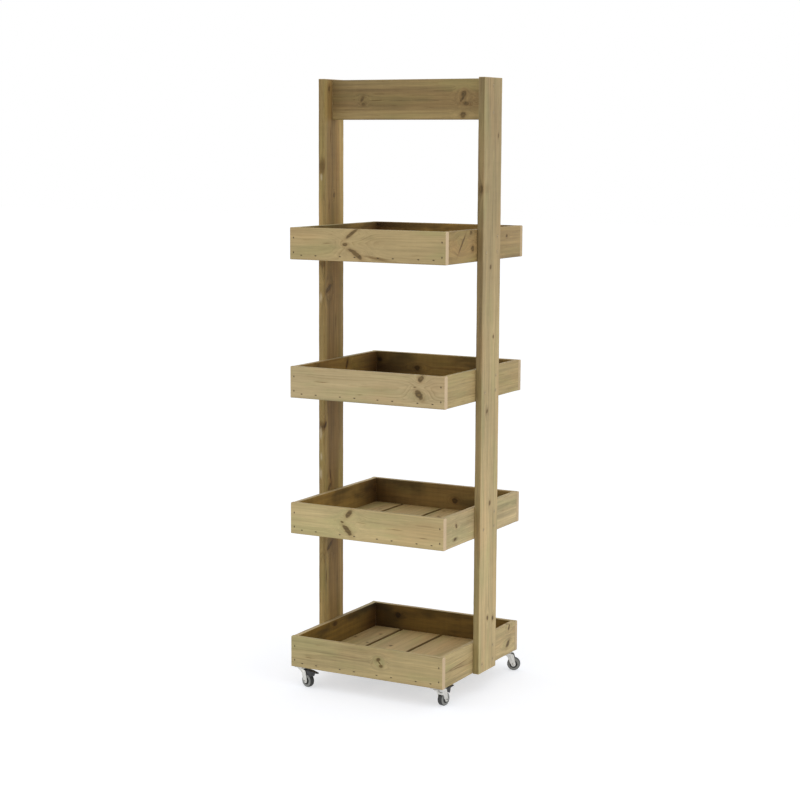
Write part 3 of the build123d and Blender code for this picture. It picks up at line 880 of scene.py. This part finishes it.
class CART_OT_stage(CartStep):
    """Set up the white floor, the lamps, the surround and the camera"""
    bl_idname = "cart.stage"
    bl_label = "Studio"

    camera_place = (2.630918, -4.884387, 1.606805)
    camera_turn = (0.498045, -0.136269, 0.004798)
    focal_in_pixels = 1887.675
    picture_width = 800
    sensor_width = 36.0
    bounce_grey = (0.7, 0.7, 0.7, 1)
    floor_grey = (0.60, 0.605, 0.625, 1)
    glow_tint = (1.0, 1.02, 1.055, 1)
    glow = 0.545

    def execute(self, context):
        studio = context.scene.cart_studio
        self.make_camera(context)
        self.make_floor(context, studio)
        self.make_world(context, studio)
        self.make_lamp(context, "key_lamp", (4.5, -1.5, 2.0), 2.4, studio.key_power)
        self.make_lamp(context, "fill_lamp", (-2.6, -2.6, 0.5), 1.6, studio.fill_power)
        context.scene.view_settings.view_transform = "Standard"
        return {"FINISHED"}

    def make_camera(self, context):
        """The camera looks along a yaw and a pitch and is rolled a little about that line."""
        yaw, pitch, roll = self.camera_turn
        level = np.array((math.cos(yaw), math.sin(yaw), 0))
        forward = np.array((-math.sin(yaw), math.cos(yaw), 0))
        ahead = forward * math.cos(pitch) + np.array((0, 0, math.sin(pitch)))
        upright = np.cross(level, ahead)
        right = math.cos(roll) * level + math.sin(roll) * upright
        up = math.cos(roll) * upright - math.sin(roll) * level
        camera = bpy.data.objects.new("camera", bpy.data.cameras.new("camera"))
        camera.data.sensor_width = self.sensor_width
        camera.data.lens = self.focal_in_pixels / self.picture_width * self.sensor_width
        turn = Matrix(np.stack((right, up, -ahead), axis=1).tolist()).to_4x4()
        camera.matrix_world = Matrix.Translation(self.camera_place) @ turn
        context.scene.collection.objects.link(camera)
        context.scene.camera = camera

    def make_floor(self, context, studio):
        """A floor whose own glow lifts it to white, so that only the cart's shadow shows on it."""
        half = studio.floor_size / 2
        mesh = bpy.data.meshes.new("floor")
        mesh.from_pydata([(-half, -half, 0), (half, -half, 0), (half, half, 0), (-half, half, 0)],
                         [], [(0, 1, 2, 3)])
        floor = bpy.data.objects.new("floor", mesh)
        context.scene.collection.objects.link(floor)
        material, tree, shader, _ = start_material("white_floor")
        seen = self.seen_directly(tree)
        connect(tree, shader.node.inputs, {
            "Roughness": 0.9, "Specular IOR Level": 0.0,
            "Base Color": seen.mix(self.bounce_grey, self.floor_grey)})
        glow = put(tree, "ShaderNodeEmission", {"Color": self.glow_tint, "Strength": seen * self.glow})
        both = put(tree, "ShaderNodeAddShader", {0: shader[0], 1: glow[0]})
        output = next(node for node in tree.nodes if node.type == "OUTPUT_MATERIAL")
        connect(tree, output.inputs, {"Surface": both[0]})
        floor.data.materials.append(material)

    def seen_directly(self, tree):
        """1 for what the camera, a reflection or glass shows, and 0 for scattered light."""
        path = put(tree, "ShaderNodeLightPath")
        either = path["Is Camera Ray"].math("MAXIMUM", path["Is Glossy Ray"])
        return either.math("MAXIMUM", path["Is Transmission Ray"])

    def make_world(self, context, studio):
        """A surround that looks white and lights the cart with the ambient strength."""
        world = bpy.data.worlds.new("surround")
        world.use_nodes = True
        tree = world.node_tree
        tree.nodes.clear()
        level = self.seen_directly(tree) * (1.0 - studio.ambient) + studio.ambient
        back = put(tree, "ShaderNodeBackground", {"Color": (1, 1, 1, 1), "Strength": level})
        put(tree, "ShaderNodeOutputWorld", {"Surface": back[0]})
        context.scene.world = world

    def make_lamp(self, context, name, place, size, power):
        """A square lamp that faces the middle of the cart."""
        lamp = bpy.data.lights.new(name, "AREA")
        lamp.shape = "SQUARE"
        lamp.size = size
        lamp.energy = power
        holder = bpy.data.objects.new(name, lamp)
        aim = Vector((0, 0, 0.9)) - Vector(place)
        turn = aim.to_track_quat("-Z", "Y").to_matrix().to_4x4()
        holder.matrix_world = Matrix.Translation(place) @ turn
        context.scene.collection.objects.link(holder)


class CART_OT_screws(CartStep):
    """Make the countersunk screws in the posts, with their cross recesses"""
    bl_idname = "cart.screws"
    bl_label = "Post screws"

    head_radius = 4.0 * MM
    head_depth = 2.4 * MM
    shank = 2.0 * MM
    length = 9 * MM

    def execute(self, context):
        low, high = (np.array(corner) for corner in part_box("post_screws"))
        bar_low, bar_high = (np.array(corner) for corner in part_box("crossbar_screws"))
        pitch = (node_span("tray_2_front_board")[0] - node_span("tray_1_front_board")[0])[2]
        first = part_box("tray_1_front_board")[0][2]
        radius = self.head_radius
        low_row = low[2] + radius - first
        high_row = high[2] - radius - (first + 3 * pitch)
        side_y = high[1] - radius
        places = [(y, first + level * pitch + height) for level in range(4)
                  for y, height in ((-side_y, low_row), (side_y, low_row), (side_y, high_row))]
        self.make("post_screw_heads", "post_screws", high[0], places)
        rail = [(0.0, bar_low[2] + radius), (0.0, bar_high[2] - radius)]
        self.make("crossbar_screw_heads", "crossbar_screws", bar_high[0], rail)
        return {"FINISHED"}

    def make(self, name, node, face, places):
        """Screws at the places on both outer faces, each with its recess turned as it was left."""
        screw = cross_screw(self.head_radius, self.head_depth, self.shank, self.length)
        turns = [Matrix.Translation((side * face, y, z)) @ Matrix.Rotation(side * math.pi / 2, 4, "Y")
                 @ Matrix.Rotation(0.9 * number + side, 4, "Z")
                 for side in (-1, 1) for number, (y, z) in enumerate(places)]
        make_piece(name, *repeated(*screw, turns), "stand", "screw_steel", node, "dull_screw", sharp=35)


def cross_screw(radius, depth, shank, length, dome=0.0, sides=48):
    """A screw head seen along Z: a flat or domed top with a cross recess, and the cone below it.

    On the top, height = dome (1 - (r/R)^2) - recess, and the recess is a smooth cross: deep where
    either |x| or |y| is small, out to six tenths of the radius.
    """
    ring = np.linspace(0, 1, 15) * radius
    angle = np.linspace(0, 2 * np.pi, sides, endpoint=False)
    x, y = np.outer(ring, np.cos(angle)), np.outer(ring, np.sin(angle))
    arm = radius * 0.16
    slot = np.exp(-(np.minimum(np.abs(x), np.abs(y)) / arm) ** 4)
    reach = 1 / (1 + np.exp((np.hypot(x, y) - 0.62 * radius) / (0.04 * radius)))
    top = dome * (1 - (ring / radius) ** 2)[:, None] - 0.42 * radius * slot * reach
    head = np.stack((x, y, top), axis=-1)
    lower = [(radius, -0.08 * depth), (shank, -depth), (shank, -length), (0, -length)]
    under, _ = turned(lower, sides)
    points = np.concatenate((head, under))
    return points, grid_faces(len(points), sides)


class CART_OT_wheels(CartStep):
    """Make the tyres and the ribbed cores of the wheels"""
    bl_idname = "cart.wheels"
    bl_label = "Wheels"

    half_width = 8.5 * MM
    seat_half_width = 7.2 * MM
    # Width of the band of painted shade on the tread, and of its soft edge
    shaded_tread_band = 1.9 * MM
    shaded_tread_blend = 1.3 * MM

    def execute(self, context):
        caster = context.scene.cart_caster
        for name in CASTERS:
            node = f"caster_{name}_wheel"
            radius = (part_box(node)[1][2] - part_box(node)[0][2]) / 2
            centre, _ = node_span(f"caster_{name}_axle")
            heading = caster_frame(name).to_euler().z
            place = Matrix.Translation((*centre[:2], radius)) @ Matrix.Rotation(heading, 4, "Z")
            pieces = {}
            for part, shape, finish in (("tyre", self.tyre, "grey_tyre"), ("core", self.core, "dark_core")):
                pieces[part] = make_piece(
                    f"{node}_{part}", *repeated(*shape(caster, radius), [place]), f"{name}_wheel",
                    "grey_rubber", node, finish, sharp=35)
            # Painted shade: the outer band of the tyre's tread is darkened
            tread = radius - self.shaded_tread_band
            mark_painted_shade(pieces["tyre"], place, lambda r: np.clip((r - tread) / self.shaded_tread_blend, 0, 1))
        return {"FINISHED"}

    def tyre(self, caster, outer):
        """Moulded tyre: y = W |sin t|^0.45 and r = r0 + depth |cos t|^0.5, with a groove in each side."""
        inner = outer - caster.tyre_depth
        t = np.linspace(-np.pi / 2, np.pi / 2, 53)
        radius = inner + caster.tyre_depth * np.abs(np.cos(t)) ** 0.5
        y = self.half_width * np.sign(np.sin(t)) * np.abs(np.sin(t)) ** 0.45
        groove = np.exp(-((radius - (outer - 3.6 * MM)) / (0.45 * MM)) ** 2)
        y -= np.sign(y) * groove * 0.45 * MM
        seat = [(inner - 0.6 * MM, side * self.seat_half_width) for side in (1, -1)]
        points, _ = turned(list(zip(radius, y)) + seat, 96, "y")
        return points, grid_faces(*points.shape[:2], wrap_rows=True)

    def core(self, caster, outer):
        """Hub, dish and rim; the dish rises to a rib at equal angles round the wheel."""
        rim = outer - caster.tyre_depth
        side = np.array([(3.05, 8.9), (3.4, 9.2), (5.6, 9.2), (6.1, 8.7), (6.4, 6.2), (7.2, 5.6),
                         (9.2, 5.6), (10.4, 5.8), (10.9, 7.3), (11.3, 7.8), (rim / MM - 0.4, 7.8),
                         (rim / MM, 7.4)]) * MM
        profile = np.concatenate((side, side[::-1] * (1, -1)))
        points, _ = turned(profile, 120, "y")
        angle = np.linspace(0, 2 * np.pi, 120, endpoint=False)
        rib = np.exp(-(np.sin(angle * caster.rib_count / 2) / 0.16) ** 2)
        dish = np.exp(-((profile[:, 0] - 8.4 * MM) / (1.8 * MM)) ** 4)
        points[..., 1] += np.sign(profile[:, 1])[:, None] * np.outer(dish, rib) * 1.6 * MM
        return points, grid_faces(*points.shape[:2], wrap_rows=True)


class CART_OT_forks(CartStep):
    """Make the pressed forks and the rivets that carry the wheels"""
    bl_idname = "cart.forks"
    bl_label = "Forks and axles"

    sheet = 1.8 * MM
    bend = 3.4 * MM
    leg_face = 11.4 * MM
    leg_top = 50 * MM
    bead = 0.9 * MM
    crown_radius = 17 * MM
    foot_radius = 7 * MM
    bore = 2.4 * MM

    # Height and place of the legs' edges and of the hood's middle line, from the crown down
    front_edge = ((53.0, -12.6), (50.0, -3.0), (46.0, 5.0), (41.4, 8.8), (37.0, 9.8), (30.0, 11.2),
                  (23.0, 13.8), (20.0, 17.0))
    hood_line = ((53.5, -15.6), (52.2, -13.4), (49.2, -9.4), (45.0, -0.6), (41.4, 5.2), (35.0, 7.0))
    rear_edge = ((55.3, 12.6), (53.6, 17.0), (50.4, 23.6), (46.9, 25.0), (21.6, 30.8))

    def execute(self, context):
        for name in CASTERS:
            node = f"caster_{name}_fork"
            place = caster_frame(name)
            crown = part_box(node)[1][2]
            centre, _ = node_span(f"caster_{name}_axle")
            hub = place.inverted() @ Matrix.Translation(centre).translation
            (moved, faces), (front, front_faces) = [
                repeated(points, grid_faces(*points.shape[:2], wrap_columns=False), [place])
                for points in (self.sheet_points(crown, hub.x, hub.z), self.hood_points())]
            faces += [[index + len(moved) for index in face] for face in front_faces]
            fork = make_piece(f"{node}_pressed", np.concatenate((moved, front)), faces, f"{name}_fork",
                              "zinc_steel", node, "zinc_plate")
            wall = fork.modifiers.new("Sheet", "SOLIDIFY")
            wall.thickness = self.sheet
            wall.offset = -1
            round_edges(fork, 0.35 * MM)
            self.make_axle(name, place @ Matrix.Translation(hub))
        return {"FINISHED"}

    def sheet_points(self, crown, hub_x, hub_z):
        """Outer face of the pressing: rows follow foot, leg, bend, crown, bend, leg and foot.

        The foot's lower half is a circle round the axle, and columns across a row run from the
        front edge to the rear one. A shallow bead, exp(-((a - 1/2) / 0.16)^2), stands out along
        the middle of each leg.
        """
        turn = np.linspace(-np.pi / 2, 0.6, 12)
        foot_top = hub_z + self.foot_radius * math.sin(0.6)
        leg = np.concatenate((hub_z + self.foot_radius * np.sin(turn),
                              np.linspace(foot_top, self.leg_top, 16)[1:]))
        bend = np.linspace(0, np.pi / 2, 8)
        flat = self.leg_face - self.bend
        y = np.concatenate((0 * leg + self.leg_face, flat + self.bend * np.cos(bend),
                            np.linspace(flat, 0, 7)[1:]))
        z = np.concatenate((leg, crown - self.bend * (1 - np.sin(bend)), np.full(6, crown)))

        left = self.along(self.front_edge, z)
        heights, rear = np.array(self.rear_edge[::-1]).T * MM
        right = np.interp(z, heights, rear)
        drop = np.sqrt(np.clip(self.foot_radius ** 2 - (z - hub_z) ** 2, 0, None))
        left = np.where(z < hub_z, hub_x - drop, left)
        right = np.where(z < heights[0], hub_x + drop, right)
        disc = np.sqrt(np.clip(self.crown_radius ** 2 - y ** 2, 0, None))
        blend = np.clip((z - (crown - self.bend)) / self.bend, 0, 1) ** 0.5
        left, right = left * (1 - blend) - disc * blend, right * (1 - blend) + disc * blend

        across = np.linspace(0, 1, 15)
        x = left[:, None] * (1 - across) + right[:, None] * across
        z = np.repeat(z[:, None], x.shape[1], axis=1)
        y = np.repeat(y[:, None], x.shape[1], axis=1)
        on_leg = np.clip((crown - self.bend - z) / (6 * MM), 0, 1)
        on_leg = on_leg * np.clip((z - hub_z - 3 * MM) / (8 * MM), 0, 1)
        y = y + self.bead * on_leg * np.exp(-((across - 0.5) / 0.16) ** 2)

        one = np.stack((x, y, z), axis=-1)
        return np.concatenate((one, one[::-1][1:] * (1, -1, 1)))

    def along(self, line, z):
        """Place on a line of (height, place) pairs in millimetres, at heights in metres."""
        heights, places = np.array(line[::-1]).T * MM
        return np.interp(z, heights, places)

    def hood_points(self):
        """Front of the pressing between the legs, from the crown down to just above the tread.

        x = edge - (edge - middle) sqrt(1 - (y / Y)^4), with the leg's front edge and the hood's
        middle line both given over the height, and Y the face of a leg.
        """
        z = np.linspace(self.hood_line[-1][0], self.hood_line[0][0], 22) * MM
        y = np.sin(np.linspace(-np.pi / 2, np.pi / 2, 33)) * self.leg_face
        edge, middle = self.along(self.front_edge, z)[:, None], self.along(self.hood_line, z)[:, None]
        x = edge - (edge - middle) * np.sqrt(1 - (y / self.leg_face) ** 4)
        return np.stack((x, np.repeat(y[None], len(z), 0), np.repeat(z[:, None], len(y), 1)), axis=-1)

    def make_axle(self, name, place):
        """A hollow rivet with its rolled heads outside the fork."""
        side = [(0, 10.3), (2.2, 10.4), (2.3, 12.4), (2.6, 12.95), (3.1, 13.0), (4.0, 12.6), (4.5, 11.9),
                (4.5, 11.4), (3.0, 11.4)]
        profile = np.array(side + [(radius, -y) for radius, y in reversed(side)]) * MM
        node = f"caster_{name}_axle"
        axle = make_piece(f"{node}_rivet", *repeated(*turned(profile, 48, "y"), [place]), f"{name}_fork",
                          "zinc_steel", node, "zinc_rivet", sharp=40)
        # Painted shade inside the rivet's hollow bore
        mark_painted_shade(axle, place, lambda r: r < self.bore)


class CART_OT_plates(CartStep):
    """Make the top plates, their screws and the kingpins"""
    bl_idname = "cart.plates"
    bl_label = "Plates and kingpins"

    dome = 0.7 * MM
    screw_offsets = (-15, 15)
    kingpin_top = 59.6

    def execute(self, context):
        places, screw_places = [], []
        for name in CASTERS:
            node = f"caster_{name}_plate"
            centre, _ = node_span(node)
            place = Matrix.Translation((centre[0], centre[1], 0))
            places.append(place)
            make_piece(f"{node}_pressed", *repeated(*self.plate(node), [place]), "stand", "zinc_steel",
                       node, "zinc_plate", sharp=40)
            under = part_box("caster_screws")[0][2] + self.dome
            screw_places += [
                place @ Matrix.Translation((x * MM, y * MM, under))
                @ Matrix.Rotation(math.pi, 4, "X") @ Matrix.Rotation(x * y, 4, "Z")
                for x in self.screw_offsets for y in self.screw_offsets]
        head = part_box("caster_kingpins")[0][2] / MM
        top = self.kingpin_top
        rivet = np.array([(0, head), (3.5, head), (5.6, head + 0.5), (6.5, head + 1.4), (6.5, head + 2.0),
                          (3, head + 2.0), (3, top), (0, top)]) * MM
        screw = cross_screw(3.5 * MM, 1.1 * MM, 1.8 * MM, 8 * MM, self.dome, 32)
        make_piece("caster_rivets", *repeated(*turned(rivet, 48), places), "stand", "zinc_steel",
                   "caster_kingpins", "zinc_plate", sharp=40)
        make_piece("caster_screw_heads", *repeated(*screw, screw_places), "stand", "screw_steel",
                   "caster_screws", "zinc_plate", sharp=40)
        return {"FINISHED"}

    def plate(self, node):
        """Rounded square plate with the round race cup below it.

        Each row is a ring whose radius goes from a circle to the square |x|^8 + |y|^8 = a^8.
        """
        low, high = (corner[2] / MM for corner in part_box(node))
        rows = np.array([  # radius, height, squareness
            (3.0, high, 0), (19.6, high, 1), (20.6, high - 0.15, 1), (21.0, high - 0.6, 1),
            (21.0, high - 1.4, 1), (20.6, high - 1.85, 1), (19.6, high - 2.0, 1), (17.4, high - 2.0, 0),
            (16.4, high - 2.3, 0), (16.0, high - 2.9, 0), (15.8, low + 0.6, 0), (15.2, low + 0.1, 0),
            (14.4, low, 0), (3.0, low, 0)])
        angle = np.linspace(0, 2 * np.pi, 96, endpoint=False)
        square = (np.abs(np.cos(angle)) ** 8 + np.abs(np.sin(angle)) ** 8) ** (-1 / 8)
        radius = rows[:, :1] * (1 + rows[:, 2:] * (square - 1))
        points = np.stack((radius * np.cos(angle), radius * np.sin(angle),
                           np.repeat(rows[:, 1:2], len(angle), 1)), axis=-1) * MM
        return points, grid_faces(*points.shape[:2], wrap_rows=True)


class CART_OT_pedals(CartStep):
    """Finish the brake pedals"""
    bl_idname = "cart.pedals"
    bl_label = "Brake pedals"

    def execute(self, context):
        for name in BRAKED:
            round_edges(dress(f"caster_{name}_brake_pedal", "black_pedal"), 0.45 * MM)
        return {"FINISHED"}


STEPS = ("finishes", "posts", "crossbar", "tray_boards", "slats", "nails", "screws", "plates", "forks",
         "wheels", "pedals", "stage")


class CART_PT_panel(bpy.types.Panel):
    """The cart's steps and settings"""
    bl_idname = "CART_PT_panel"
    bl_label = "Flower cart stand"
    bl_space_type = "VIEW_3D"
    bl_region_type = "UI"
    bl_category = "Flower Cart"

    def draw(self, context):
        for name in STEPS:
            self.layout.operator(f"cart.{name}")
        for group in SETTINGS:
            settings = getattr(context.scene, group)
            for key in settings.bl_rna.properties.keys():
                if key not in ("rna_type", "name"):
                    self.layout.prop(settings, key)


SETTINGS = {"cart_wood": CartWood, "cart_caster": CartCaster, "cart_studio": CartStudio}
CLASSES = (*SETTINGS.values(), CART_OT_finishes, CART_OT_posts, CART_OT_crossbar, CART_OT_tray_boards,
           CART_OT_slats, CART_OT_nails, CART_OT_screws, CART_OT_plates, CART_OT_forks, CART_OT_wheels,
           CART_OT_pedals, CART_OT_stage, CART_PT_panel)


def register():
    for cls in CLASSES:
        bpy.utils.register_class(cls)
    for name, group in SETTINGS.items():
        setattr(bpy.types.Scene, name, bpy.props.PointerProperty(type=group))


def unregister():
    for name in SETTINGS:
        delattr(bpy.types.Scene, name)
    for cls in reversed(CLASSES):
        bpy.utils.unregister_class(cls)


def main():
    register()
    for name in STEPS:
        getattr(bpy.ops.cart, name)()


if __name__ == "__main__":
    main()
